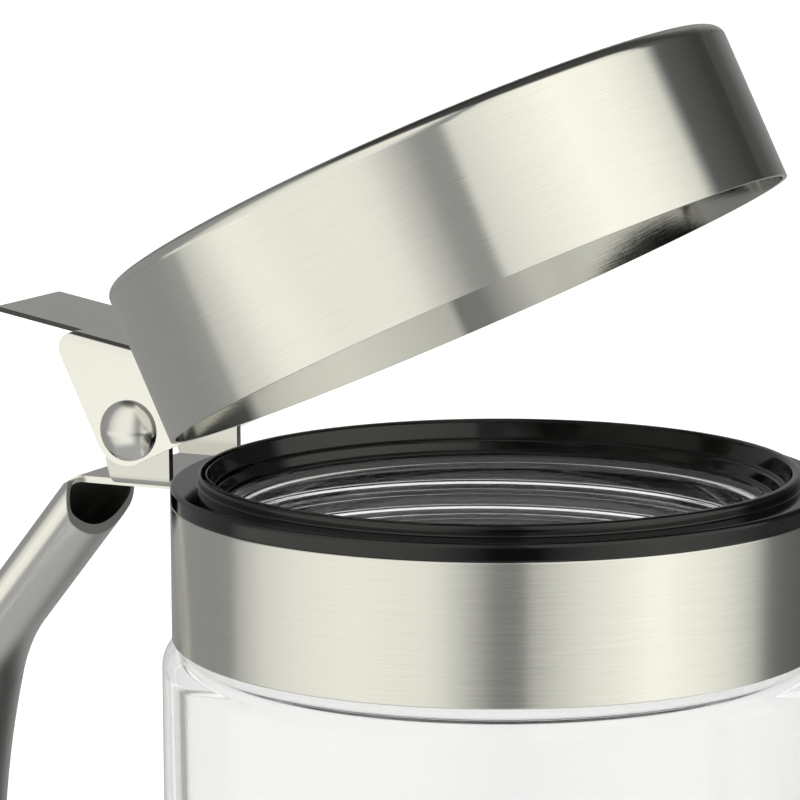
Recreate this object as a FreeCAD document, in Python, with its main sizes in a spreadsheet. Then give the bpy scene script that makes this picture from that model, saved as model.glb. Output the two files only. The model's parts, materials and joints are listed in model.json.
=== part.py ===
# Glass spice jar with a screw-on collar, a tube handle and a flip lid.
# Millimetres. The jar's axis is Z, its base stands on z = 0, and the hinge and handle are towards -X.
import FreeCAD
import Part
import Sketcher
import math
import os

Vector = FreeCAD.Vector
# How closely an edge has to lie at its place to be picked
EDGE_MATCH = 1e-4

# Driving dimensions, each the name of a cell in the sheet
SIZES = {
    # Glass jar
    "body_radius": 40.2,
    "body_height": 78.55,
    "body_wall": 2.7,
    "base_thickness": 5.0,
    "heel_radius": 6.0,
    "shoulder_rise": 3.6,
    "shoulder_radius": 3.4,
    "shoulder_drop": 1.1,
    "neck_inset": 6.2,
    "neck_wall": 2.3,
    "neck_edge_radius": 0.7,
    # Screw collar and its seal
    "thread_height": 1.1,
    "thread_gap": 0.3,
    "collar_wall": 2.95,
    "collar_foot_rise": 2.0,
    "flange_height": 2.1,
    "rim_inset": 3.3,
    "rim_height": 1.4,
    "rim_wall": 1.3,
    "rim_edge_radius": 0.5,
    "step_depth": 2.3,
    "step_width": 1.2,
    "ledge_depth": 1.4,
    "ledge_width": 1.0,
    "lip_thickness": 0.8,
    "seal_thickness": 0.6,
    "seal_inset": 0.7,
    "seal_gap": 0.2,
    # Steel band round the collar
    "shoulder_gap": 1.45,
    "band_height": 16.5,
    "band_wall": 0.6,
    "band_edge_radius": 0.2,
    "press_gap": 0.05,
    # Lid
    "lid_overhang": 0.5,
    "lid_height": 19.6,
    "lid_wall": 0.6,
    "lid_corner_radius": 1.6,
    "lid_gap": 0.25,
    "open_angle": 25.8,
    # Hinge axis, behind the lid's skirt and above the flange
    "hinge_offset": 4.95,
    "hinge_rise": 4.35,
    # Hinge base
    "base_sheet": 1.0,
    "base_width": 18.4,
    "base_drop": 0.5,
    "base_ear_back": 3.9,
    "base_ear_radius": 3.5,
    "base_ear_slant": 0.75,
    "base_ear_knee": 2.7,
    "base_front_gap": 0.1,
    "base_front_drop": 0.75,
    "bend_radius": 1.1,
    # Rivet
    "pin_radius": 2.0,
    "pin_clearance": 0.05,
    "head_radius": 3.7,
    "head_edge": 0.8,
    "head_edge_radius": 0.5,
    "dome_height": 1.75,
    "head_gap": 0.1,
    # Lid lever
    "sheet": 0.6,
    "ear_gap": 0.2,
    "ear_back": 4.95,
    "ear_corner_radius": 2.0,
    "lever_rise": 12.77,
    "lever_angle": 36.0,
    "lever_reach": 17.0,
    "lever_width": 15.0,
    "lever_corner_radius": 0.3,
    "tab_height": 5.0,
    # Handle: a flattened tube, with its mouth cut upright
    "mouth_back": 10.03,
    "mouth_drop": 3.9,
    "handle_flat": 12.6,
    "handle_back": 2.6,
    "handle_front": 3.1,
    "handle_edge_radius": 2.2,
    "handle_wall": 0.8,
    "handle_lean_angle": 38.9,
    "handle_top": 2.4,
    "handle_run": 21.5,
    "handle_bend_radius": 21.2,
    "handle_bend_angle": 24.9,
    "grip_radius": 125.0,
    "grip_angle": 22.3,
    "tongue_width": 12.0,
    "tongue_bend_radius": 3.0,
    "tongue_lap": 3.0,
    "leg_length": 11.0,
    # Gap left between two pieces that are welded round a curve
    "seat_gap": 0.02,
    # How far a cutting shape runs past what it cuts
    "overrun": 2.0,
}


class Size:
    """A number together with the sheet expression that it comes from."""

    def __init__(self, value, text):
        self.value = value
        self.text = text

    def combine(self, other, sign, value):
        return Size(value, f"({self.text} {sign} {as_size(other).text})")

    def __add__(self, other):
        return self.combine(other, "+", self.value + as_size(other).value)

    def __sub__(self, other):
        return self.combine(other, "-", self.value - as_size(other).value)

    def __mul__(self, other):
        return self.combine(other, "*", self.value * as_size(other).value)

    def __truediv__(self, other):
        return self.combine(other, "/", self.value / as_size(other).value)

    def __neg__(self):
        return Size(-self.value, f"(-{self.text})")


def as_size(item):
    return item if isinstance(item, Size) else Size(float(item), repr(float(item)))


def cos_of(angle):
    return Size(math.cos(math.radians(angle.value)), f"cos({angle.text})")


def sin_of(angle):
    return Size(math.sin(math.radians(angle.value)), f"sin({angle.text})")


doc = FreeCAD.newDocument("spice_jar")
sheet = doc.addObject("Spreadsheet::Sheet", "Sizes")
s = {}
for row, (alias, number) in enumerate(SIZES.items(), start=1):
    sheet.set(f"A{row}", alias)
    sheet.set(f"B{row}", str(number))
    sheet.setAlias(f"B{row}", alias)
    s[alias] = Size(number, f"Sizes.{alias}")
doc.recompute()

ZERO = as_size(0)

# Levels and radii that follow from the driving dimensions
band_bottom = s["body_height"] + s["shoulder_gap"]
band_top = band_bottom + s["band_height"]
flange_top = band_top + s["flange_height"]
rim_top = flange_top + s["rim_height"]
step_level = rim_top - s["step_depth"]
ledge_level = step_level - s["ledge_depth"]
lip_underside = ledge_level - s["lip_thickness"]
neck_top = lip_underside - s["seal_thickness"]

body_bore = s["body_radius"] - s["body_wall"]
neck_radius = s["body_radius"] - s["neck_inset"]
neck_bore = neck_radius - s["neck_wall"]
collar_bore = neck_radius + s["thread_height"] + s["thread_gap"]
skirt_radius = collar_bore + s["collar_wall"]
band_bore = skirt_radius + s["press_gap"]
band_radius = band_bore + s["band_wall"]
rim_radius = band_radius - s["rim_inset"]
rim_bore = rim_radius - s["rim_wall"]
step_radius = rim_bore - s["step_width"]
lip_radius = step_radius - s["ledge_width"]

lid_radius = band_radius + s["lid_overhang"]
lid_bottom = flange_top + s["lid_gap"]
lid_top = lid_bottom + s["lid_height"]
hinge_x = -(lid_radius + s["hinge_offset"])
hinge_z = flange_top + s["hinge_rise"]
pin_hole = (hinge_x, hinge_z, s["pin_radius"] + s["pin_clearance"])
base_floor = band_top - s["base_drop"]
ear_face = s["base_width"] / 2 + s["ear_gap"] + s["sheet"]


def new_body(label):
    body = doc.addObject("PartDesign::Body", label)
    body.Label = label
    return body


def new_sketch(body, name, role="XZ_Plane"):
    sketch = body.newObject("Sketcher::SketchObject", name)
    plane = [item for item in body.Origin.OriginFeatures if item.Role == role][0]
    sketch.AttachmentSupport = [(plane, "")]
    sketch.MapMode = "FlatFace"
    return sketch


def constrain(sketch, size, *where):
    """Add a dimension and tie it to the sheet."""
    index = sketch.addConstraint(Sketcher.Constraint(*where, size.value))
    sketch.setExpression(f"Constraints[{index}]", size.text)


def fix_point(sketch, edge, end, x, y):
    constrain(sketch, x, "DistanceX", -1, 1, edge, end)
    constrain(sketch, y, "DistanceY", -1, 1, edge, end)


def arc_between(start, end, radius):
    """Shorter arc that turns left from start to end."""
    chord = end - start
    rise = math.sqrt(radius ** 2 - (chord.Length / 2) ** 2)
    centre = (start + end) / 2 + Vector(-chord.y, chord.x, 0) / chord.Length * rise
    angles = [math.atan2(point.y - centre.y, point.x - centre.x) for point in (start, end)]
    return Part.ArcOfCircle(Part.Circle(centre, Vector(0, 0, 1), radius), *angles)


def draw_outline(sketch, points, closed=True):
    """Outline through points (x, y), or (x, y, radius, turn) where an arc leads to the next point.

    The turn is "left" or "right". Every point and radius is a size tied to the sheet.
    """
    count = len(points)
    pieces = count if closed else count - 1
    ends = []
    corners = [Vector(point[0].value, point[1].value, 0) for point in points]
    for index in range(pieces):
        start = corners[index]
        end = corners[(index + 1) % count]
        turn = points[index][3] if len(points[index]) > 2 else None
        if turn is None:
            sketch.addGeometry(Part.LineSegment(start, end))
        elif turn == "left":
            sketch.addGeometry(arc_between(start, end, points[index][2].value))
        else:
            sketch.addGeometry(arc_between(end, start, points[index][2].value))
        ends.append((2, 1) if turn == "right" else (1, 2))
    for index in range(pieces):
        after = (index + 1) % pieces
        if closed or after:
            meeting = (index, ends[index][1], after, ends[after][0])
            sketch.addConstraint(Sketcher.Constraint("Coincident", *meeting))
        fix_point(sketch, index, ends[index][0], points[index][0], points[index][1])
        if len(points[index]) > 2:
            constrain(sketch, points[index][2], "Radius", index)
    if not closed:
        fix_point(sketch, pieces - 1, ends[-1][1], points[-1][0], points[-1][1])


def draw_circle(sketch, x, y, radius):
    centre = Vector(x.value, y.value, 0)
    edge = sketch.addGeometry(Part.Circle(centre, Vector(0, 0, 1), radius.value))
    fix_point(sketch, edge, 3, x, y)
    constrain(sketch, radius, "Radius", edge)


def revolve(body, points):
    """Full turn about Z of an outline drawn as radius and height."""
    sketch = new_sketch(body, body.Label + "_profile")
    draw_outline(sketch, points)
    turn = body.newObject("PartDesign::Revolution", body.Label + "_turn")
    turn.Profile = sketch
    turn.ReferenceAxis = (sketch, ["V_Axis"])
    doc.recompute()


def extrude(body, kind, name, width, points=None, circle=None):
    """Pad or pocket across Y, half to each side of the middle plane."""
    sketch = new_sketch(body, name + "_outline")
    if points:
        draw_outline(sketch, points)
    else:
        draw_circle(sketch, *circle)
    feature = body.newObject(f"PartDesign::{kind}", name)
    feature.Profile = sketch
    feature.SideType = "Symmetric"
    feature.setExpression("Length", width.text)
    doc.recompute()


def cut_round_axis(body, name, radius):
    """Take away whatever is nearer to the jar's axis than the radius."""
    sketch = new_sketch(body, name + "_circle", "XY_Plane")
    draw_circle(sketch, ZERO, ZERO, radius)
    cut = body.newObject("PartDesign::Pocket", name)
    cut.Profile = sketch
    cut.Type = "ThroughAll"
    cut.SideType = "Symmetric"
    doc.recompute()


def round_edges(body, name, radius, wanted):
    """Fillet the edges of the body's last feature that the test picks out."""
    last = body.Tip
    names = [f"Edge{i}" for i, edge in enumerate(last.Shape.Edges, start=1) if wanted(edge)]
    fillet = body.newObject("PartDesign::Fillet", name)
    fillet.Base = (last, names)
    fillet.setExpression("Radius", radius.text)
    doc.recompute()


def near(a, b):
    return abs(a - b) < EDGE_MATCH


def rings(*places):
    """Test for full circles about Z, by radius and height."""
    def wanted(edge):
        if edge.Degenerated or not isinstance(edge.Curve, Part.Circle):
            return False
        curve = edge.Curve
        return any(near(curve.Radius, r.value) and near(curve.Center.z, z.value) for r, z in places)
    return wanted


def lines(*places):
    """Test for straight edges by their middle: x, distance from the middle plane and z, None being free."""
    def fits(place, found):
        return all(size is None or near(size.value, at) for size, at in zip(place, found))

    def wanted(edge):
        if not isinstance(edge.Curve, Part.Line):
            return False
        middle = edge.CenterOfMass
        found = (middle.x, abs(middle.y), middle.z)
        return any(fits(place, found) for place in places)
    return wanted


def make_glass_jar():
    body = new_body("glass_jar")
    neck_foot = s["body_height"] + s["shoulder_rise"]
    slope = s["shoulder_rise"] / s["neck_inset"]
    slope_foot = s["body_height"] - s["shoulder_drop"]
    slope_top = slope_foot + (body_bore - neck_bore) * slope
    revolve(body, [
        (ZERO, ZERO),
        (s["body_radius"], ZERO),
        (s["body_radius"], s["body_height"]),
        (neck_radius, neck_foot),
        (neck_radius, neck_top),
        (neck_bore, neck_top),
        (neck_bore, slope_top),
        (body_bore, slope_foot),
        (body_bore, s["base_thickness"]),
        (ZERO, s["base_thickness"]),
    ])
    heel = rings((s["body_radius"], ZERO), (body_bore, s["base_thickness"]))
    round_edges(body, "jar_heel", s["heel_radius"], heel)
    outer_shoulder = rings((s["body_radius"], s["body_height"]))
    round_edges(body, "jar_outer_shoulder", s["shoulder_radius"], outer_shoulder)
    inner_shoulder = rings((body_bore, slope_foot))
    round_edges(body, "jar_inner_shoulder", s["shoulder_radius"] - s["body_wall"], inner_shoulder)
    neck_ends = rings(
        (neck_radius, neck_foot),
        (neck_radius, neck_top),
        (neck_bore, neck_top),
        (neck_bore, slope_top),
    )
    round_edges(body, "jar_neck_ends", s["neck_edge_radius"], neck_ends)
    return body


def make_neck_seal():
    body = new_body("neck_seal")
    inner = neck_bore + s["seal_inset"]
    outer = collar_bore - s["seal_gap"]
    revolve(body, [(inner, neck_top), (outer, neck_top), (outer, lip_underside), (inner, lip_underside)])
    return body


def make_screw_collar():
    body = new_body("screw_collar")
    foot = band_bottom + s["collar_foot_rise"]
    revolve(body, [
        (collar_bore, foot),
        (skirt_radius, foot),
        (skirt_radius, band_top),
        (band_radius, band_top),
        (band_radius, flange_top),
        (rim_radius, flange_top),
        (rim_radius, rim_top),
        (rim_bore, rim_top),
        (rim_bore, step_level),
        (step_radius, step_level),
        (step_radius, ledge_level),
        (lip_radius, ledge_level),
        (lip_radius, lip_underside),
        (collar_bore, lip_underside),
    ])
    edges = rings(
        (band_radius, flange_top),
        (rim_radius, rim_top),
        (rim_bore, rim_top),
        (step_radius, step_level),
    )
    round_edges(body, "collar_edges", s["rim_edge_radius"], edges)
    return body


def make_collar_band():
    body = new_body("collar_band")
    revolve(body, [
        (band_bore, band_bottom),
        (band_radius, band_bottom),
        (band_radius, band_top),
        (band_bore, band_top),
    ])
    edges = rings((band_radius, band_bottom), (band_radius, band_top))
    round_edges(body, "band_edges", s["band_edge_radius"], edges)
    return body


def make_hinge_base():
    """Folded channel with a floor and two ears, open in front, behind and above."""
    body = new_body("hinge_base")
    front = -(lid_radius + s["base_front_gap"])
    back = hinge_x - s["base_ear_back"]
    ear_middle = back + s["base_ear_radius"]
    front_top = hinge_z - s["base_front_drop"]
    extrude(body, "Pad", "base_block", s["base_width"], points=[
        (back + s["base_ear_slant"], base_floor),
        (front, base_floor),
        (front, front_top),
        (ear_middle, front_top),
        (ear_middle, hinge_z),
        (back, hinge_z),
        (back, base_floor + s["base_ear_knee"]),
    ])
    ear_end = (ear_middle, hinge_z, s["base_ear_radius"])
    extrude(body, "Pad", "base_ear_ends", s["base_width"], circle=ear_end)
    bends = lines((None, s["base_width"] / 2, base_floor))
    round_edges(body, "base_bends", s["bend_radius"], bends)
    above = hinge_z + s["base_ear_radius"] + s["overrun"]
    extrude(body, "Pocket", "base_inside", s["base_width"] - s["base_sheet"] * 2, points=[
        (back - s["overrun"], base_floor + s["base_sheet"]),
        (front + s["overrun"], base_floor + s["base_sheet"]),
        (front + s["overrun"], above),
        (back - s["overrun"], above),
    ])
    extrude(body, "Pocket", "base_hole", s["base_width"] + s["overrun"], circle=pin_hole)
    return body


def make_hinge_rivet():
    """Pin with a domed head at each end, drawn upright and laid along Y."""
    body = new_body("hinge_rivet")
    pin, head, height = s["pin_radius"], s["head_radius"], s["dome_height"]
    seat = ear_face + s["head_gap"]
    edge = seat + s["head_edge"]
    dome = (head * head + height * height) / (height * 2)
    revolve(body, [
        (ZERO, -(edge + height), dome, "left"),
        (head, -edge),
        (head, -seat),
        (pin, -seat),
        (pin, seat),
        (head, seat),
        (head, edge, dome, "left"),
        (ZERO, edge + height),
    ])
    round_edges(body, "head_edges", s["head_edge_radius"], rings((head, edge), (head, -edge)))
    place = f"vector({hinge_x.text}; 0; {hinge_z.text})"
    turn = "rotation(vector(1; 0; 0); 90)"
    body.setExpression("Placement", f"placement({place}; {turn}; vector(0; 0; 0))")
    doc.recompute()
    return body


def open_lid(body):
    """Turn a piece of the lid about the rivet from closed to part open."""
    turn = f"rotation(vector(0; -1; 0); {s['open_angle'].text})"
    centre = f"vector({hinge_x.text}; 0; {hinge_z.text})"
    body.setExpression("Placement", f"placement(vector(0; 0; 0); {turn}; {centre})")
    doc.recompute()


def make_lid_shell():
    body = new_body("lid_shell")
    bore = lid_radius - s["lid_wall"]
    ceiling = lid_top - s["lid_wall"]
    revolve(body, [
        (ZERO, lid_top),
        (lid_radius, lid_top),
        (lid_radius, lid_bottom),
        (bore, lid_bottom),
        (bore, ceiling),
        (ZERO, ceiling),
    ])
    round_edges(body, "lid_outer_corner", s["lid_corner_radius"], rings((lid_radius, lid_top)))
    round_edges(body, "lid_inner_corner", s["lid_corner_radius"] - s["lid_wall"], rings((bore, ceiling)))
    open_lid(body)
    return body


def make_lid_lever():
    """Folded sheet welded to the lid's skirt: a sloping thumb lever with an ear at each side."""
    body = new_body("lid_lever")
    angle = s["lever_angle"]
    slope = sin_of(angle) / cos_of(angle)
    drop = s["sheet"] / cos_of(angle)
    back = hinge_x - s["ear_back"]
    ear_radius = hinge_z - lid_bottom
    root_z = lid_bottom + s["lever_rise"]
    front = -(lid_radius - s["overrun"])
    tip = -(lid_radius + s["lever_reach"])

    def top_at(x):
        """Height of the lever's upper face, which rises backwards from the skirt."""
        return root_z - (x + lid_radius) * slope

    def on_fold(edge):
        """Test for the upper edges where the ears are folded down."""
        middle = edge.CenterOfMass
        height = top_at(as_size(middle.x)).value
        return near(abs(middle.y), ear_face.value) and near(middle.z, height)

    width = ear_face * 2
    extrude(body, "Pad", "lever_block", width, points=[
        (front, lid_bottom),
        (back + ear_radius, lid_bottom, ear_radius, "right"),
        (back, hinge_z),
        (back, top_at(back)),
        (front, top_at(front)),
    ])
    round_edges(body, "lever_folds", s["bend_radius"], on_fold)
    corner = s["ear_corner_radius"]
    tangent = corner * cos_of(angle) / (as_size(1) - sin_of(angle))
    run = tangent * cos_of(angle)
    extrude(body, "Pocket", "ear_corners", width + s["overrun"], points=[
        (back, top_at(back) - tangent, corner, "right"),
        (back + run, top_at(back + run)),
        (back + run, top_at(back) + s["overrun"]),
        (back - s["overrun"], top_at(back) + s["overrun"]),
        (back - s["overrun"], top_at(back) - tangent),
    ])
    extrude(body, "Pocket", "lever_inside", width - s["sheet"] * 2, points=[
        (front + s["overrun"], lid_bottom - s["overrun"]),
        (back - s["overrun"], lid_bottom - s["overrun"]),
        (back - s["overrun"], top_at(back - s["overrun"]) - drop),
        (front + s["overrun"], top_at(front + s["overrun"]) - drop),
    ])
    tip_inset = s["sheet"] * sin_of(angle)
    tip_drop = s["sheet"] * cos_of(angle)
    extrude(body, "Pad", "thumb_lever", s["lever_width"], points=[
        (front, top_at(front)),
        (tip, top_at(tip)),
        (tip - tip_inset, top_at(tip) - tip_drop),
        (front, top_at(front) - drop),
    ])
    corners = lines((tip - tip_inset / 2, s["lever_width"] / 2, top_at(tip) - tip_drop / 2))
    round_edges(body, "lever_corners", s["lever_corner_radius"], corners)
    weld = -(lid_radius + s["sheet"])
    extrude(body, "Pad", "weld_tab", s["lever_width"], points=[
        (front, top_at(front) - drop / 2),
        (weld, top_at(weld) - drop / 2),
        (weld, root_z - s["tab_height"]),
        (front, root_z - s["tab_height"]),
    ])
    extrude(body, "Pocket", "lever_hole", width + s["overrun"], circle=pin_hole)
    cut_round_axis(body, "skirt_seat", lid_radius + s["seat_gap"])
    open_lid(body)
    return body


def handle_section(body, name, path_start, wall):
    """Flattened tube's outline, flat behind and arched in front, set in by the wall."""
    half = s["handle_flat"] / 2
    back, front, edge = s["handle_back"], s["handle_front"], s["handle_edge_radius"]
    # The arch runs smoothly into the round edges, which fixes its radius
    lead = edge - back - front
    arch = (edge * edge - half * half - lead * lead) / ((lead + edge) * 2)
    reach = (arch - wall) / (arch - edge)
    join_front = front - arch + reach * (lead + arch)
    join_side = reach * half
    sketch = new_sketch(body, name, "XY_Plane")
    place = f"vector({path_start[0].text}; 0; {path_start[1].text})"
    turn = f"rotation(vector(0; 1; 0); {s['handle_lean_angle'].text})"
    sketch.setExpression("AttachmentOffset", f"placement({place}; {turn}; vector(0; 0; 0))")
    draw_outline(sketch, [
        (wall - back, half),
        (wall - back, -half, edge - wall, "left"),
        (join_front, -join_side, arch - wall, "left"),
        (join_front, join_side, edge - wall, "left"),
    ])
    return sketch


def make_handle():
    """Flattened tube bent like a cup's handle. Its back wall runs on as a tongue under the hinge base."""
    body = new_body("handle")
    lean = s["handle_lean_angle"]
    across = (cos_of(lean), -sin_of(lean))
    along = (-sin_of(lean), -cos_of(lean))
    mouth = (hinge_x - s["mouth_back"], band_top - s["mouth_drop"])

    def place(inward, down):
        """Point of the leaning tube by distance in from its axis and down from its mouth."""
        x = mouth[0] + across[0] * inward + along[0] * down
        z = mouth[1] + across[1] * inward + along[1] * down
        return (x, z)

    def swing(start, radius, before, after):
        """End of an arc that turns the tube's lean from one angle to another."""
        x = start[0] + radius * (cos_of(before) - cos_of(after))
        z = start[1] + radius * (sin_of(after) - sin_of(before))
        return (x, z)

    path_start = place(ZERO, -s["handle_top"])
    bend_start = place(ZERO, s["handle_run"])
    grip_lean = lean - s["handle_bend_angle"]
    grip_start = swing(bend_start, s["handle_bend_radius"], lean, grip_lean)
    grip_end = swing(grip_start, s["grip_radius"], grip_lean, grip_lean - s["grip_angle"])
    path = new_sketch(body, "handle_path")
    draw_outline(path, [
        path_start,
        (*bend_start, s["handle_bend_radius"], "left"),
        (*grip_start, s["grip_radius"], "left"),
        grip_end,
    ], closed=False)
    for kind, wall in (("Additive", ZERO), ("Subtractive", s["handle_wall"])):
        name = f"{kind.lower()}_tube"
        pipe = body.newObject(f"PartDesign::{kind}Pipe", name)
        pipe.Profile = handle_section(body, name + "_section", path_start, wall)
        pipe.Spine = path
        doc.recompute()

    # The tongue's upper face, and where the tube's back wall would meet it
    wall = s["handle_wall"]
    back = s["handle_back"]
    rise = (base_floor - place(-back, ZERO)[1]) / cos_of(lean)
    corner_x = place(-back, -rise)[0]
    bend = s["tongue_bend_radius"]
    tangent = bend * (as_size(1) - sin_of(lean)) / cos_of(lean)
    wall_end = place(-back, tangent - rise)
    inner_end = place(wall - back, tangent - rise)
    flat_x = corner_x + tangent

    # The mouth is cut upright, and the tube's top stays under the tongue's bend
    foot = mouth[1] - s["handle_front"] / sin_of(lean) - s["overrun"]
    side = mouth[0] + s["handle_front"] + s["handle_top"] + s["overrun"]
    above = base_floor + s["overrun"]
    fall = (base_floor - wall_end[1]) / (flat_x - wall_end[0])
    outside = wall_end[0] - s["overrun"]
    extrude(body, "Pocket", "mouth_cut", s["handle_flat"] * 2, points=[
        (mouth[0], foot),
        (side, foot),
        (side, above),
        (outside, above),
        (outside, wall_end[1] - s["overrun"] * fall),
        (mouth[0], wall_end[1] + (mouth[0] - wall_end[0]) * fall),
    ])

    leg_front = -(band_radius - s["overrun"])
    leg_back = -(band_radius + s["seat_gap"] + wall)
    leg_foot = base_floor - s["leg_length"]
    extrude(body, "Pad", "tongue", s["tongue_width"], points=[
        place(-back, s["tongue_lap"]),
        (*wall_end, bend, "right"),
        (flat_x, base_floor),
        (leg_front, base_floor),
        (leg_front, leg_foot),
        (leg_back, leg_foot),
        (leg_back, base_floor - wall),
        (flat_x, base_floor - wall, bend - wall, "left"),
        inner_end,
        place(wall - back, s["tongue_lap"]),
    ])
    cut_round_axis(body, "band_seat", band_radius + s["seat_gap"])
    return body


SUB_PARTS = [
    make_glass_jar(),
    make_neck_seal(),
    make_screw_collar(),
    make_collar_band(),
    make_hinge_base(),
    make_handle(),
    make_hinge_rivet(),
    make_lid_shell(),
    make_lid_lever(),
]

for item in doc.Objects:
    if "Invalid" in item.State or "Error" in item.State:
        raise RuntimeError(f"{item.Label} failed: {item.State}")
    if item.isDerivedFrom("PartDesign::Feature") and not item.Shape.Solids:
        raise RuntimeError(f"{item.Label} left no solid")
os.makedirs("parts", exist_ok=True)
for part in SUB_PARTS:
    if part.Shape.isNull() or not part.Shape.isValid() or len(part.Shape.Solids) != 1:
        raise RuntimeError(f"{part.Label} has no single valid solid")
for part in SUB_PARTS:
    part.Shape.exportStep(f"parts/{part.Label}.step")
    print(part.Label, round(part.Shape.Volume, 1), "mm3")
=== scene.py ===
import json
import math

import bmesh
import bpy
from mathutils import Matrix, Vector


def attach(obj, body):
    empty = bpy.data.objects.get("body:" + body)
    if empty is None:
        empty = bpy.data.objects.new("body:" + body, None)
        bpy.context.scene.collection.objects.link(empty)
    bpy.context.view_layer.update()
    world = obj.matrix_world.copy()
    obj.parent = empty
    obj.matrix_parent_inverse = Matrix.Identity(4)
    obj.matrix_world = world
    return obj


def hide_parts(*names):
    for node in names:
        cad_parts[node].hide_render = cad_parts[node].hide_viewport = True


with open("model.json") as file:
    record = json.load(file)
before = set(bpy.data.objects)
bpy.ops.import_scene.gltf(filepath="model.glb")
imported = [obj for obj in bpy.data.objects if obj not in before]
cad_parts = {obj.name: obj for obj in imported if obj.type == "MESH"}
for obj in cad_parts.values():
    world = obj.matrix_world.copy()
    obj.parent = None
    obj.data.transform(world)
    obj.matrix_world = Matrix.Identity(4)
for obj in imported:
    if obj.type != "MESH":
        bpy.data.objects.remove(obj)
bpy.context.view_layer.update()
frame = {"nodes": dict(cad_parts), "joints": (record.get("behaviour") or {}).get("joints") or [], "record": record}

# A glass spice jar with a screw-on collar, a tube handle and a hinged steel lid
MM = 0.001

# Camera: where it stands, the point in the middle of its view, its tilt and its focal length
CAMERA_PLACE = Vector((192.78, -424.97, 184.12)) * MM
CAMERA_AIM = Vector((-11.57, -3.03, 107.79)) * MM
CAMERA_ROLL = math.radians(-0.26)
FOCAL_LENGTH = 180.04
SENSOR_WIDTH = 36.0

# Studio walls by compass direction: angle from +X in degrees, and brightness there
STUDIO_WALLS = [
    (-180, 0.31),
    (-170, 0.33),
    (-161, 0.37),
    (-156, 0.62),
    (-150, 0.72),
    (-131, 0.91),
    (-118, 0.97),
    (-92, 0.98),
    (-84, 0.92),
    (-74, 0.60),
    (-66, 0.34),
    (-57, 0.32),
    (-55.5, 0.80),
    (-40, 0.97),
    (-12, 1.19),
    (8, 1.12),
    (22, 1.00),
    (34, 0.80),
    (39, 0.30),
    (42, 0.12),
    (68, 0.05),
    (82, 0.10),
    (104, 0.31),
    (180, 0.31),
]
# The same for the low strip of the walls that upright pieces mirror
STUDIO_STRIP = [
    (-180, 0.29),
    (-172, 0.31),
    (-167, 0.68),
    (-160, 0.92),
    (-140, 1.04),
    (-114, 1.08),
    (-90, 0.84),
    (-76, 0.35),
    (-68, 0.05),
    (-53, 0.04),
    (-46, 0.34),
    (-34, 0.72),
    (-10, 1.14),
    (16, 0.75),
    (36, 0.28),
    (48, 0.20),
    (78, 0.09),
    (104, 0.31),
    (180, 0.29),
]
STRIP_FOOT = math.sin(math.radians(-15.5))
STRIP_TOP = math.sin(math.radians(-8.5))
STRIP_BLUR = 0.02
# The table below, and the top of the white sweep behind the jar, as sines of their angles
TABLE_EDGE = math.sin(math.radians(-40))
TABLE_BLUR = 0.10
TABLE_LEVEL = 0.43
SWEEP_TOP = 0.30
SWEEP_BLUR = 0.05
# Blue in the light of a bright wall and of a dark one: the soft boxes are warmer than the room
BRIGHT_BLUE = 0.92
DARK_BLUE = 1.02
# The dark ceiling comes down lower at the back than in front
CEILING_TILT = Vector((-0.121, 0.260, 1.0))
CEILING_EDGE = 0.82
CEILING_BLUR = 0.08
CEILING_LEVEL = 0.06
FLOOR_SIZE = 6.0
FLOOR_COLOR = (0.90, 0.90, 0.89, 1)
FLOOR_GLOW = 0.25

# The lid is brushed round its own axis, which leans back at rest
lid_joint = next(joint for joint in frame["joints"] if joint["name"] == "lid_hinge")
HINGE_PLACE = Vector(lid_joint["pos_m"])
OPEN_ANGLE = math.radians(-lid_joint["range_deg"][0])

# Sizes of the turned pieces in millimetres
JAR_RADIUS = 40.2
JAR_BORE = 37.5
JAR_FLOOR = 5
NECK_RADIUS = 34.0
NECK_BORE = 31.7
NECK_TOP = 94.9
COLLAR_RADIUS = 38.35
COLLAR_BORE = 35.4
FLANGE_RADIUS = 39.0
FLANGE_FOOT = 96.5
FLANGE_TOP = 98.6
RIM_RADIUS = 35.7
RIM_TOP = 100.0
MOUTH_RADIUS = 32.2
MOUTH_STEP = 96.3
SEAL_TOP = 95.5
# Their outlines: radius, height and how far the corner is rounded
JAR_OUTLINE = [
    (0, 0, 0),
    (JAR_RADIUS, 0, 6),
    (JAR_RADIUS, 78.55, 3.4),
    (NECK_RADIUS, 82.15, 0.7),
    (NECK_RADIUS, NECK_TOP, 0.7),
    (NECK_BORE, NECK_TOP, 0.7),
    (NECK_BORE, 80.82, 0.7),
    (JAR_BORE, 77.45, 0.7),
    (JAR_BORE, JAR_FLOOR, 6),
    (0, JAR_FLOOR, 0),
]
COLLAR_OUTLINE = [
    (COLLAR_BORE, 81.45, 0.1),
    (COLLAR_RADIUS, 80.05, 0.2),
    (COLLAR_RADIUS, FLANGE_FOOT, 0),
    (FLANGE_RADIUS, FLANGE_FOOT, 0.15),
    (FLANGE_RADIUS, FLANGE_TOP, 0.5),
    (RIM_RADIUS, FLANGE_TOP, 0.2),
    (RIM_RADIUS, RIM_TOP, 0.5),
    (34.6, RIM_TOP, 0.5),
    (34.0, 97.7, 0.2),
    (33.3, 97.6, 0.4),
    (32.9, MOUTH_STEP, 0.2),
    (MOUTH_RADIUS, MOUTH_STEP, 0.25),
    (MOUTH_RADIUS, SEAL_TOP, 0.25),
    (COLLAR_BORE, SEAL_TOP, 0),
]
# How finely they are turned. Points closer than the tolerance, in millimetres, are in the same place
ROUND_STEPS = 8
EDGE_LOOP = 0.06
TOLERANCE = EDGE_LOOP / 10
TURN_STEPS = 256
SHARP_ANGLE = math.radians(32)

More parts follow.
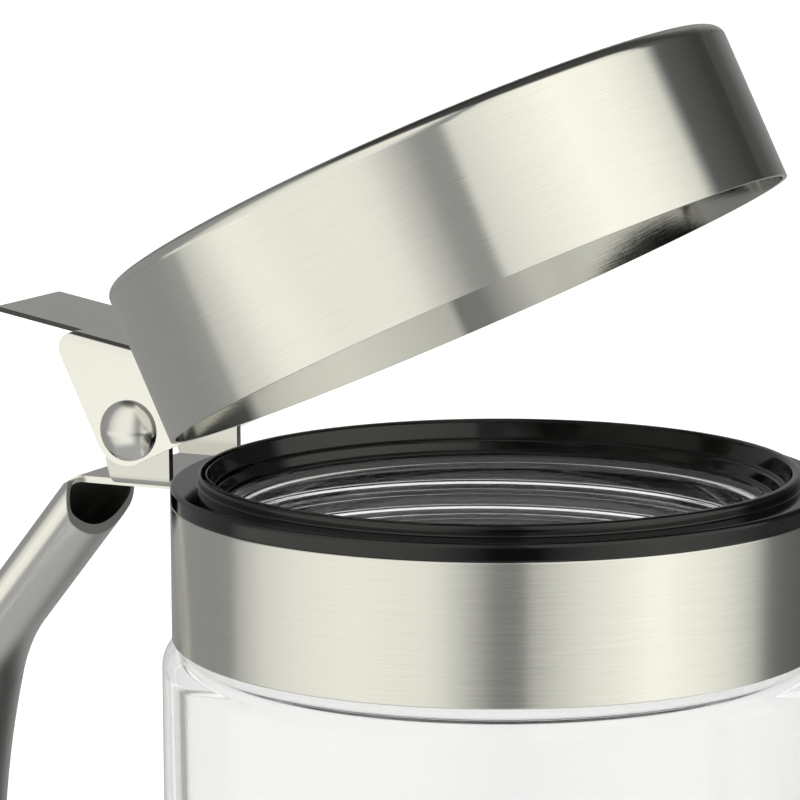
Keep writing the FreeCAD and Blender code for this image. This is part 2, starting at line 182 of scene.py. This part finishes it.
# Screw thread in millimetres and turns: a turn rises as far as the collar's own joint lifts it
COUPLING = frame["record"]["behaviour"]["couplings"][0]
THREAD_PITCH = COUPLING["ratio"] * math.tau / MM
THREAD_HEIGHT = 1.1
THREAD_FOOT = 1.1
THREAD_CREST = 0.15
THREAD_START = 84.08
THREAD_STEP = 0.08
THREAD_FADE = 0.1
JAR_TURNS = 2.6
COLLAR_TURNS = 2.3

# Brushed pieces within these radii in millimetres, which are the bores and the lid's top: painted shade that
# darkens their colour, gloss, flare
BAND_BORE = 38.5
LID_BORE = 39.0
INSIDE_PAINTED_SHADE = 0.65
INSIDE_SMOOTHER = 0.5
INSIDE_FLARE = 0.09

# The thumb lever's sheared sides: where they lie, how they face, how much darker a painted dark reflection makes
# them, and how much rougher they are
LEVER_HALF_WIDTH = 7.6
SHEARED_ANGLE = math.radians(45)
SHEARED_PAINTED_DARK_REFLECTION = 0.10
SHEARED_ROUGHNESS = 0.45

# Colours of the finishes. Each pair is the range that lines, smears or specks spread a value over
STEEL_COLOR = (0.805, 0.798, 0.75)
LINE_SHADES = (0.92, 1.07)
LINE_GLOSS = (0.85, 1.15)
POLISHED_COLOR = (0.84, 0.83, 0.79)
SMEAR_SHADES = (0.97, 1.03)
SMEAR_GLOSS = (0.7, 1.3)
PLASTIC_COLOR = (0.002, 0.002, 0.0025)
PLASTIC_ROUGHNESS = (0.05, 0.13)
DUST_SHADE = 5.0
DUST_RANGE = (0.66, 0.74)
# Painted shade: the seal's colour is made dark for the shade it sits in under the collar's lip
SILICONE_SHADED_COLOR = (0.14, 0.14, 0.135)
SILICONE_SHADES = (0.92, 1.06)
SILICONE_ROUGHNESS = (0.35, 0.55)
GLASS_COLOR = (0.86, 0.86, 0.865)
# Painted light: the glass glows white for rays that have bounced this many times inside its wall
GLASS_BOUNCES = 4
GLASS_PAINTED_GLOW = 0.9
# Counts of bounces less than this apart are the same
COUNT_TOLERANCE = 0.5


class Nodes:
    """Short way to add nodes to a tree and join their sockets."""

    def __init__(self, tree):
        self.tree = tree

    def add(self, kind, inputs=None, **settings):
        """New node, with its inputs set or linked."""
        node = self.tree.nodes.new(kind)
        for name, value in settings.items():
            setattr(node, name, value)
        for key, value in (inputs or {}).items():
            self.put(node.inputs[key], value)
        return node

    def put(self, socket, value):
        """Link another socket to this one, or set its value."""
        if isinstance(value, bpy.types.NodeSocket):
            self.tree.links.new(value, socket)
        else:
            socket.default_value = value

    def math(self, operation, *values):
        """Result of a sum, a product or another operation on numbers."""
        inputs = dict(enumerate(values))
        return self.add("ShaderNodeMath", inputs, operation=operation).outputs[0]

    def smooth(self, value, low, high):
        """Smooth step from 0 at one value to 1 at another."""
        inputs = {"Value": value, "From Min": low, "From Max": high}
        return self.add("ShaderNodeMapRange", inputs, interpolation_type="SMOOTHSTEP").outputs[0]

    def spread(self, value, low, high):
        """A 0 to 1 value spread between two others."""
        return self.add("ShaderNodeMapRange", {"Value": value, "To Min": low, "To Max": high}).outputs[0]

    def blend(self, factor, first, second):
        """Mix of two colours."""
        node = self.add("ShaderNodeMix", {"Factor": factor}, data_type="RGBA")
        colors = [socket for socket in node.inputs if socket.type == "RGBA"]
        self.put(colors[0], first)
        self.put(colors[1], second)
        return next(socket for socket in node.outputs if socket.type == "RGBA")


def opaque(color, factor=1.0):
    """A colour made brighter or darker, with full alpha."""
    return tuple(min(1.0, part * factor) for part in color) + (1.0,)


def new_material(name):
    """Empty material with its node helper and its shader."""
    material = bpy.data.materials.new(name)
    material.use_nodes = True
    nodes = Nodes(material.node_tree)
    shader = material.node_tree.nodes["Principled BSDF"]
    return material, nodes, shader


def new_group(name, kind, inputs, outputs):
    """Node group with named sockets."""
    tree = bpy.data.node_groups.new(name, kind)
    for label, socket_type, value in inputs:
        socket = tree.interface.new_socket(label, in_out="INPUT", socket_type=socket_type)
        if value is not None:
            socket.default_value = value
    for label, socket_type in outputs:
        tree.interface.new_socket(label, in_out="OUTPUT", socket_type=socket_type)
    nodes = Nodes(tree)
    entry = nodes.add("NodeGroupInput")
    result = nodes.add("NodeGroupOutput")
    return tree, nodes, entry.outputs, result.inputs


def make_brush_group():
    """Fine lines that run round the Z axis of the given coordinates."""
    tree, nodes, given, result = new_group(
        "brush_lines",
        "ShaderNodeTree",
        [
            ("Vector", "NodeSocketVector", None),
            ("Line Width", "NodeSocketFloat", 0.14 * MM),
            ("Line Length", "NodeSocketFloat", 8 * MM),
        ],
        [("Lines", "NodeSocketFloat")],
    )
    parts = nodes.add("ShaderNodeSeparateXYZ", {0: given["Vector"]}).outputs
    flat = nodes.add("ShaderNodeCombineXYZ", {0: parts[0], 1: parts[1]}).outputs[0]
    radius = nodes.add("ShaderNodeVectorMath", {0: flat}, operation="LENGTH").outputs["Value"]
    across = nodes.math("DIVIDE", nodes.math("ADD", parts[2], radius), given["Line Width"])
    along_x = nodes.math("DIVIDE", parts[0], given["Line Length"])
    along_y = nodes.math("DIVIDE", parts[1], given["Line Length"])
    place = nodes.add("ShaderNodeCombineXYZ", {0: along_x, 1: along_y, 2: across}).outputs[0]
    inputs = {"Vector": place, "Scale": 1.0, "Detail": 3.0, "Roughness": 0.65}
    lines = nodes.add("ShaderNodeTexNoise", inputs)
    nodes.put(result["Lines"], lines.outputs["Fac"])
    return tree


def make_handling_group():
    """Faint smears left by fingers, and sparse specks of dust."""
    tree, nodes, given, result = new_group(
        "handling_marks",
        "ShaderNodeTree",
        [
            ("Vector", "NodeSocketVector", None),
            ("Smear Size", "NodeSocketFloat", 6 * MM),
            ("Speck Size", "NodeSocketFloat", 0.6 * MM),
        ],
        [("Smears", "NodeSocketFloat"), ("Specks", "NodeSocketFloat")],
    )
    smear_scale = nodes.math("DIVIDE", 1.0, given["Smear Size"])
    speck_scale = nodes.math("DIVIDE", 1.0, given["Speck Size"])
    smear_inputs = {"Vector": given["Vector"], "Scale": smear_scale, "Detail": 4.0}
    speck_inputs = {"Vector": given["Vector"], "Scale": speck_scale, "Detail": 2.0}
    smears = nodes.add("ShaderNodeTexNoise", smear_inputs)
    specks = nodes.add("ShaderNodeTexNoise", speck_inputs)
    nodes.put(result["Smears"], smears.outputs["Fac"])
    nodes.put(result["Specks"], nodes.smooth(specks.outputs["Fac"], *DUST_RANGE))
    return tree


BRUSH_GROUP = make_brush_group()
HANDLING_GROUP = make_handling_group()


def place_group(nodes, tree, **inputs):
    """Outputs of a node group, with the inputs of these names set."""
    group = nodes.add("ShaderNodeGroup", node_tree=tree)
    for label, value in inputs.items():
        nodes.put(group.inputs[label.replace("_", " ")], value)
    return group.outputs


def make_brushed_steel(name, roughness, bore, centre=None, turn=0.0):
    """Steel brushed round Z, or round an axis that leans about a centre. It is smoother within the bore, and
    painted shade darkens its colour there.
    """
    material, nodes, shader = new_material(name)
    coords = nodes.add("ShaderNodeTexCoord").outputs["Object"]
    axis = Vector((0, 0, 1))
    if centre is not None:
        inputs = {"Vector": coords, "Center": centre, "Angle": turn}
        coords = nodes.add("ShaderNodeVectorRotate", inputs, rotation_type="Y_AXIS").outputs[0]
        axis.rotate(Matrix.Rotation(-turn, 3, "Y"))
    flat = nodes.add("ShaderNodeVectorMath", {0: coords, 1: (1, 1, 0)}, operation="MULTIPLY").outputs[0]
    radius = nodes.add("ShaderNodeVectorMath", {0: flat}, operation="LENGTH").outputs["Value"]
    inside = nodes.math("LESS_THAN", radius, bore)
    lines = place_group(nodes, BRUSH_GROUP, Vector=coords)["Lines"]
    outer_color = nodes.blend(lines, *(opaque(STEEL_COLOR, shade) for shade in LINE_SHADES))
    # Painted shade: within the bore the colour is a darker steel without brush lines
    painted_shade_color = opaque(STEEL_COLOR, INSIDE_PAINTED_SHADE)
    nodes.put(shader.inputs["Base Color"], nodes.blend(inside, outer_color, painted_shade_color))
    brushed = nodes.spread(lines, *(roughness * factor for factor in LINE_GLOSS))
    smoother = nodes.math("SUBTRACT", 1.0, nodes.math("MULTIPLY", inside, INSIDE_SMOOTHER))
    nodes.put(shader.inputs["Roughness"], nodes.math("MULTIPLY", brushed, smoother))
    shader.inputs["Metallic"].default_value = 1.0
    shader.inputs["Anisotropic"].default_value = 0.85
    to_world = {"vector_type": "VECTOR", "convert_from": "OBJECT", "convert_to": "WORLD"}
    along = nodes.add("ShaderNodeVectorTransform", {0: axis}, **to_world).outputs[0]
    nodes.put(shader.inputs["Tangent"], along)
    inputs = {"Strength": 0.06, "Distance": 0.05 * MM, "Height": lines}
    bump = nodes.add("ShaderNodeBump", inputs).outputs[0]
    flare = nodes.math("MULTIPLY", inside, -INSIDE_FLARE)
    lean = nodes.add("ShaderNodeVectorMath", {0: along, "Scale": flare}, operation="SCALE").outputs[0]
    facing = nodes.add("ShaderNodeVectorMath", {0: bump, 1: lean}).outputs[0]
    facing = nodes.add("ShaderNodeVectorMath", {0: facing}, operation="NORMALIZE").outputs[0]
    nodes.put(shader.inputs["Normal"], facing)
    return material


def make_polished_steel(name, roughness, shade=1.0, sheared_half_width=None):
    """Bright rolled steel with faint smears, its colour darkened by the shade factor as painted shade. Sides that
    face along Y within the half width are rougher and painted near-black as a dark reflection.
    """
    material, nodes, shader = new_material(name)
    coords = nodes.add("ShaderNodeTexCoord").outputs["Object"]
    smears = place_group(nodes, HANDLING_GROUP, Vector=coords)["Smears"]
    # The shade factor darkens the colour, which is painted shade
    color = nodes.blend(smears, *(opaque(POLISHED_COLOR, factor * shade) for factor in SMEAR_SHADES))
    gloss = nodes.spread(smears, *(roughness * factor for factor in SMEAR_GLOSS))
    if sheared_half_width is not None:
        facing = nodes.add("ShaderNodeNewGeometry").outputs["Normal"]
        sideways = nodes.add("ShaderNodeSeparateXYZ", {0: facing}).outputs[1]
        aside = nodes.add("ShaderNodeSeparateXYZ", {0: coords}).outputs[1]
        turn = nodes.math("ABSOLUTE", sideways)
        turned = nodes.math("GREATER_THAN", turn, math.cos(SHEARED_ANGLE))
        within = nodes.math("LESS_THAN", nodes.math("ABSOLUTE", aside), sheared_half_width)
        side = nodes.math("MULTIPLY", turned, within)
        # Painted dark reflection: the sheared sides' colour is made near-black
        color = nodes.blend(side, color, opaque(POLISHED_COLOR, SHEARED_PAINTED_DARK_REFLECTION))
        gloss = nodes.math("MAXIMUM", gloss, nodes.math("MULTIPLY", side, SHEARED_ROUGHNESS))
    nodes.put(shader.inputs["Base Color"], color)
    nodes.put(shader.inputs["Roughness"], gloss)
    shader.inputs["Metallic"].default_value = 1.0
    return material


def make_black_plastic():
    """Glossy moulded plastic with smears and a few specks of dust."""
    material, nodes, shader = new_material("glossy_black_plastic")
    coords = nodes.add("ShaderNodeTexCoord").outputs["Object"]
    marks = place_group(nodes, HANDLING_GROUP, Vector=coords, Smear_Size=4 * MM, Speck_Size=0.4 * MM)
    color = nodes.blend(marks["Specks"], opaque(PLASTIC_COLOR), opaque(PLASTIC_COLOR, DUST_SHADE))
    nodes.put(shader.inputs["Base Color"], color)
    nodes.put(shader.inputs["Roughness"], nodes.spread(marks["Smears"], *PLASTIC_ROUGHNESS))
    shader.inputs["IOR"].default_value = 1.54
    inputs = {"Strength": 0.04, "Distance": 0.05 * MM, "Height": marks["Smears"]}
    bump = nodes.add("ShaderNodeBump", inputs).outputs[0]
    nodes.put(shader.inputs["Normal"], bump)
    return material


def make_silicone():
    """Satin rubber of the seal, darkened by painted shade for the shade it sits in under the collar's lip."""
    material, nodes, shader = new_material("pale_silicone")
    coords = nodes.add("ShaderNodeTexCoord").outputs["Object"]
    smears = place_group(nodes, HANDLING_GROUP, Vector=coords, Smear_Size=3 * MM)["Smears"]
    color = nodes.blend(smears, *(opaque(SILICONE_SHADED_COLOR, shade) for shade in SILICONE_SHADES))
    nodes.put(shader.inputs["Base Color"], color)
    nodes.put(shader.inputs["Roughness"], nodes.spread(smears, *SILICONE_ROUGHNESS))
    return material


def make_glass():
    """Clear pressed glass, a little uneven. Rays that run on inside the wall end on a painted white glow, which
    stands in for light from the white floor.
    """
    material, nodes, shader = new_material("clear_glass")
    coords = nodes.add("ShaderNodeTexCoord").outputs["Object"]
    inputs = {"Vector": coords, "Scale": 45.0, "Detail": 1.0}
    waves = nodes.add("ShaderNodeTexNoise", inputs).outputs["Fac"]
    inputs = {"Strength": 0.02, "Distance": 0.4 * MM, "Height": waves}
    bump = nodes.add("ShaderNodeBump", inputs).outputs[0]
    nodes.put(shader.inputs["Normal"], bump)
    shader.inputs["Base Color"].default_value = opaque(GLASS_COLOR)
    shader.inputs["Roughness"].default_value = 0.0
    shader.inputs["IOR"].default_value = 1.51
    shader.inputs["Transmission Weight"].default_value = 1.0
    path = nodes.add("ShaderNodeLightPath").outputs
    trapped = nodes.math("COMPARE", path["Glossy Depth"], GLASS_BOUNCES, COUNT_TOLERANCE)
    straight_in = nodes.math("COMPARE", path["Transmission Depth"], 1.0, COUNT_TOLERANCE)
    painted_glow_rays = nodes.math("MULTIPLY", trapped, straight_in)
    # Painted light: an emission on the glass itself, not a lamp
    shader.inputs["Emission Color"].default_value = (1, 1, 1, 1)
    nodes.put(shader.inputs["Emission Strength"], nodes.math("MULTIPLY", painted_glow_rays, GLASS_PAINTED_GLOW))
    return material


def rounded_outline(corners):
    """Points of an outline with its corners rounded, and a point just before and after each round."""
    points = []
    for index, (radius, height, rounding) in enumerate(corners):
        here = Vector((radius, height))
        if not rounding:
            points.append(here)
            continue
        before = (Vector(corners[index - 1][:2]) - here).normalized()
        after = (Vector(corners[(index + 1) % len(corners)][:2]) - here).normalized()
        half = before.angle(after) / 2
        reach = rounding / math.tan(half)
        centre = here + (before + after).normalized() * rounding / math.sin(half)
        first_arm = here + before * reach - centre
        last_arm = here + after * reach - centre
        points.append(here + before * (reach + EDGE_LOOP))
        for step in range(ROUND_STEPS + 1):
            arm = first_arm.slerp(last_arm, step / ROUND_STEPS).normalized()
            points.append(centre + arm * rounding)
        points.append(here + after * (reach + EDGE_LOOP))
    return points


def split_thread_run(points, radius):
    """Cut the outline's upright run at the thread's radius into short steps."""
    result = []
    for index, point in enumerate(points):
        result.append(point)
        following = points[(index + 1) % len(points)]
        rise = following.y - point.y
        upright = all(abs(end.x - radius) < TOLERANCE for end in (point, following))
        count = int(abs(rise) / THREAD_STEP) if upright else 0
        for step in range(1, count):
            result.append(Vector((radius, point.y + rise * step / count)))
    return result


def turned_object(name, points):
    """Solid of revolution about Z from an outline in millimetres."""
    shape = bmesh.new()
    rings = []
    for point in points:
        radius, height = point * MM
        if radius < TOLERANCE * MM:
            rings.append([shape.verts.new((0, 0, height))])
            continue
        angles = [math.tau * step / TURN_STEPS for step in range(TURN_STEPS)]
        ring = [(radius * math.cos(angle), radius * math.sin(angle), height) for angle in angles]
        rings.append([shape.verts.new(place) for place in ring])
    for lower, upper in zip(rings, rings[1:] + rings[:1]):
        if len(lower) == len(upper) == 1:
            continue
        for step in range(TURN_STEPS):
            after = (step + 1) % TURN_STEPS
            corners = [lower[step % len(lower)], lower[after % len(lower)]]
            corners += [upper[after % len(upper)], upper[step % len(upper)]]
            shape.faces.new(list(dict.fromkeys(corners)))
    bmesh.ops.recalc_face_normals(shape, faces=shape.faces)
    mesh = bpy.data.meshes.new(name)
    shape.to_mesh(mesh)
    shape.free()
    piece = bpy.data.objects.new(name, mesh)
    bpy.context.scene.collection.objects.link(piece)
    return piece


def make_thread_tree():
    """Raise a screw thread on the round wall of the given radius, by moving its points in or out."""
    tree, nodes, given, result = new_group(
        "screw_thread",
        "GeometryNodeTree",
        [
            ("Geometry", "NodeSocketGeometry", None),
            ("Material", "NodeSocketMaterial", None),
            ("Wall Radius", "NodeSocketFloat", NECK_RADIUS * MM),
            ("Height", "NodeSocketFloat", THREAD_HEIGHT * MM),
            ("Pitch", "NodeSocketFloat", THREAD_PITCH * MM),
            ("Start", "NodeSocketFloat", THREAD_START * MM),
            ("Turns", "NodeSocketFloat", JAR_TURNS),
            ("Foot", "NodeSocketFloat", THREAD_FOOT * MM),
            ("Crest", "NodeSocketFloat", THREAD_CREST * MM),
        ],
        [("Geometry", "NodeSocketGeometry")],
    )
    position = nodes.add("GeometryNodeInputPosition").outputs[0]
    parts = nodes.add("ShaderNodeSeparateXYZ", {0: position}).outputs
    flat = nodes.add("ShaderNodeCombineXYZ", {0: parts[0], 1: parts[1]}).outputs[0]
    radius = nodes.add("ShaderNodeVectorMath", {0: flat}, operation="LENGTH").outputs["Value"]
    outward = nodes.add("ShaderNodeVectorMath", {0: flat}, operation="NORMALIZE").outputs[0]
    on_wall = nodes.math("COMPARE", radius, given["Wall Radius"], TOLERANCE * MM)
    turn = nodes.math("DIVIDE", nodes.math("ARCTAN2", parts[1], parts[0]), math.tau)
    climbed = nodes.math("DIVIDE", nodes.math("SUBTRACT", parts[2], given["Start"]), given["Pitch"])
    beyond = nodes.math("SUBTRACT", climbed, turn)
    aside = nodes.math("SUBTRACT", beyond, nodes.math("ROUND", beyond))
    wound = nodes.math("SUBTRACT", climbed, aside)
    distance = nodes.math("MULTIPLY", nodes.math("ABSOLUTE", aside), given["Pitch"])
    ridge = nodes.smooth(distance, given["Foot"], given["Crest"])
    run_in = nodes.smooth(wound, 0.0, THREAD_FADE)
    run_out = nodes.smooth(nodes.math("SUBTRACT", given["Turns"], wound), 0.0, THREAD_FADE)
    length = nodes.math("MULTIPLY", run_in, run_out)
    raised = nodes.math("MULTIPLY", nodes.math("MULTIPLY", ridge, length), given["Height"])
    lift = nodes.add("ShaderNodeVectorMath", {0: outward, "Scale": raised}, operation="SCALE").outputs[0]
    inputs = {"Geometry": given["Geometry"], "Selection": on_wall, "Offset": lift}
    moved = nodes.add("GeometryNodeSetPosition", inputs).outputs[0]
    real = nodes.add("GeometryNodeRealizeInstances", {"Geometry": moved}).outputs[0]
    inputs = {"Geometry": real, "Material": given["Material"]}
    finished = nodes.add("GeometryNodeSetMaterial", inputs).outputs[0]
    nodes.put(result["Geometry"], finished)
    return tree


THREAD_TREE = make_thread_tree()


def cut_thread(piece, **sizes):
    """Run the thread tree on a piece and keep its result as a plain mesh."""
    modifier = piece.modifiers.new("thread", "NODES")
    modifier.node_group = THREAD_TREE
    sockets = [item for item in THREAD_TREE.interface.items_tree if item.in_out == "INPUT"]
    identifiers = {socket.name: socket.identifier for socket in sockets}
    for label, value in sizes.items():
        modifier[identifiers[label.replace("_", " ")]] = value
    graph = bpy.context.evaluated_depsgraph_get()
    mesh = bpy.data.meshes.new_from_object(piece.evaluated_get(graph))
    piece.modifiers.clear()
    piece.data = mesh
    mesh.shade_smooth()
    mesh.set_sharp_from_angle(angle=SHARP_ANGLE)


def make_jar(material):
    """Glass body with the thread on its neck."""
    points = split_thread_run(rounded_outline(JAR_OUTLINE), NECK_RADIUS)
    jar = turned_object("threaded_jar", points)
    cut_thread(jar, Material=material)
    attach(jar, "jar")
    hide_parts("glass_jar")


def make_collar(material):
    """Collar whose thread runs half a turn beside the jar's."""
    points = split_thread_run(rounded_outline(COLLAR_OUTLINE), COLLAR_BORE)
    collar = turned_object("threaded_collar", points)
    cut_thread(
        collar,
        Material=material,
        Wall_Radius=COLLAR_BORE * MM,
        Height=-THREAD_HEIGHT * MM,
        Start=(THREAD_START + THREAD_PITCH / 2) * MM,
        Turns=COLLAR_TURNS,
    )
    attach(collar, "collar")
    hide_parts("screw_collar")


def finish_node(name, material):
    """Give a CAD piece its material."""
    mesh = frame["nodes"][name].data
    mesh.materials.clear()
    mesh.materials.append(material)


def wall_ramp(nodes, turn, walls):
    """Brightness of the studio round the compass."""
    node = nodes.add("ShaderNodeValToRGB", {"Fac": turn})
    ramp = node.color_ramp
    while len(ramp.elements) < len(walls):
        ramp.elements.new(1.0)
    for element, (angle, level) in zip(ramp.elements, walls):
        blue = DARK_BLUE + (BRIGHT_BLUE - DARK_BLUE) * min(level, 1)
        element.position = (angle + 180) / 360
        element.color = (level, level, level * blue, 1)
    return node.outputs["Color"]


def camera_and_glass_rays(nodes):
    """1 for the camera's own rays, and 1 for those that have been through glass."""
    path = nodes.add("ShaderNodeLightPath").outputs
    through = nodes.math("GREATER_THAN", path["Transmission Depth"], COUNT_TOLERANCE)
    return path["Is Camera Ray"], through


def make_world():
    """Studio with soft boxes, dark walls and a dark ceiling. Camera and glass see white behind the jar."""
    world = bpy.data.worlds.new("studio")
    bpy.context.scene.world = world
    world.use_nodes = True
    nodes = Nodes(world.node_tree)
    background = world.node_tree.nodes["Background"]
    direction = nodes.add("ShaderNodeTexCoord").outputs["Generated"]
    parts = nodes.add("ShaderNodeSeparateXYZ", {0: direction}).outputs
    compass = nodes.math("ARCTAN2", parts[1], parts[0])
    turn = nodes.math("ADD", nodes.math("DIVIDE", compass, math.tau), 0.5)
    over_foot = nodes.smooth(parts[2], STRIP_FOOT - STRIP_BLUR, STRIP_FOOT + STRIP_BLUR)
    under_top = nodes.smooth(parts[2], STRIP_TOP + STRIP_BLUR, STRIP_TOP - STRIP_BLUR)
    in_strip = nodes.math("MULTIPLY", over_foot, under_top)
    walls = wall_ramp(nodes, turn, STUDIO_WALLS)
    strip = wall_ramp(nodes, turn, STUDIO_STRIP)
    room = nodes.blend(in_strip, walls, strip)
    tilted = nodes.add("ShaderNodeVectorMath", {0: direction, 1: CEILING_TILT}, operation="DOT_PRODUCT")
    rise = tilted.outputs["Value"]
    ceiling = nodes.smooth(rise, CEILING_EDGE - CEILING_BLUR, CEILING_EDGE + CEILING_BLUR)
    room = nodes.blend(ceiling, room, (CEILING_LEVEL, CEILING_LEVEL, CEILING_LEVEL, 1))
    table = nodes.smooth(parts[2], TABLE_EDGE + TABLE_BLUR, TABLE_EDGE - TABLE_BLUR)
    room = nodes.blend(table, room, (TABLE_LEVEL, TABLE_LEVEL, TABLE_LEVEL, 1))
    by_camera, through_glass = camera_and_glass_rays(nodes)
    on_sweep = nodes.smooth(parts[2], SWEEP_TOP + SWEEP_BLUR, SWEEP_TOP - SWEEP_BLUR)
    white = nodes.math("MAXIMUM", by_camera, nodes.math("MULTIPLY", through_glass, on_sweep))
    nodes.put(background.inputs["Color"], nodes.blend(white, room, (1, 1, 1, 1)))


def make_floor():
    """Pale floor that glows a little where the camera sees it, and isn't mirrored in the metal."""
    mesh = bpy.data.meshes.new("floor")
    half = FLOOR_SIZE / 2
    corners = [(-half, -half, 0), (half, -half, 0), (half, half, 0), (-half, half, 0)]
    mesh.from_pydata(corners, [], [(0, 1, 2, 3)])
    floor = bpy.data.objects.new("floor", mesh)
    bpy.context.scene.collection.objects.link(floor)
    material, nodes, shader = new_material("pale_floor")
    shader.inputs["Base Color"].default_value = FLOOR_COLOR
    shader.inputs["Roughness"].default_value = 0.9
    shader.inputs["Specular IOR Level"].default_value = 0.1
    shader.inputs["Emission Color"].default_value = (1, 1, 1, 1)
    seen = nodes.math("MAXIMUM", *camera_and_glass_rays(nodes))
    nodes.put(shader.inputs["Emission Strength"], nodes.math("MULTIPLY", seen, FLOOR_GLOW))
    mesh.materials.append(material)
    floor.visible_glossy = False


def make_lamp(name, place, size, power):
    """Broad lamp that lights the floor and dull pieces. The walls alone are mirrored in the metal."""
    data = bpy.data.lights.new(name, "AREA")
    data.size = size
    data.energy = power
    lamp = bpy.data.objects.new(name, data)
    lamp.location = place
    lamp.rotation_euler = (-Vector(place)).to_track_quat("-Z", "Y").to_euler()
    lamp.visible_glossy = False
    bpy.context.scene.collection.objects.link(lamp)


def make_camera():
    """Long lens on the camera's place, aimed and rolled."""
    data = bpy.data.cameras.new("camera")
    data.sensor_width = SENSOR_WIDTH
    data.lens = FOCAL_LENGTH
    data.clip_start = 0.01
    camera = bpy.data.objects.new("camera", data)
    facing = (CAMERA_AIM - CAMERA_PLACE).to_track_quat("-Z", "Y").to_matrix().to_4x4()
    camera.matrix_world = Matrix.Translation(CAMERA_PLACE) @ facing @ Matrix.Rotation(CAMERA_ROLL, 4, "Z")
    bpy.context.scene.collection.objects.link(camera)
    bpy.context.scene.camera = camera


make_jar(make_glass())
make_collar(make_black_plastic())
finish_node("neck_seal", make_silicone())
finish_node("collar_band", make_brushed_steel("band_steel", roughness=0.20, bore=BAND_BORE * MM))
lid_steel = make_brushed_steel(
    "lid_steel", roughness=0.11, bore=LID_BORE * MM, centre=HINGE_PLACE, turn=OPEN_ANGLE
)
finish_node("lid_shell", lid_steel)
lever_steel = make_polished_steel(
    "lever_steel", roughness=0.12, sheared_half_width=LEVER_HALF_WIDTH * MM
)
finish_node("lid_lever", lever_steel)
# Painted shade: the hinge base's colour is darkened to 0.8 for the shade it sits in under the lever
finish_node("hinge_base", make_polished_steel("base_steel", roughness=0.12, shade=0.8))
finish_node("hinge_rivet", make_polished_steel("rivet_steel", roughness=0.20))
finish_node("handle", make_polished_steel("satin_tube_steel", roughness=0.22))

# The hinge isn't mirrored in the lid's skirt beside it
for hinge_piece in ("lid_lever", "hinge_base", "hinge_rivet"):
    frame["nodes"][hinge_piece].visible_glossy = False

make_world()
make_floor()
make_lamp("top_lamp", place=(-0.5, 0.8, 3.5), size=2.5, power=90.0)
make_camera()
bpy.context.scene.view_settings.view_transform = "Standard"
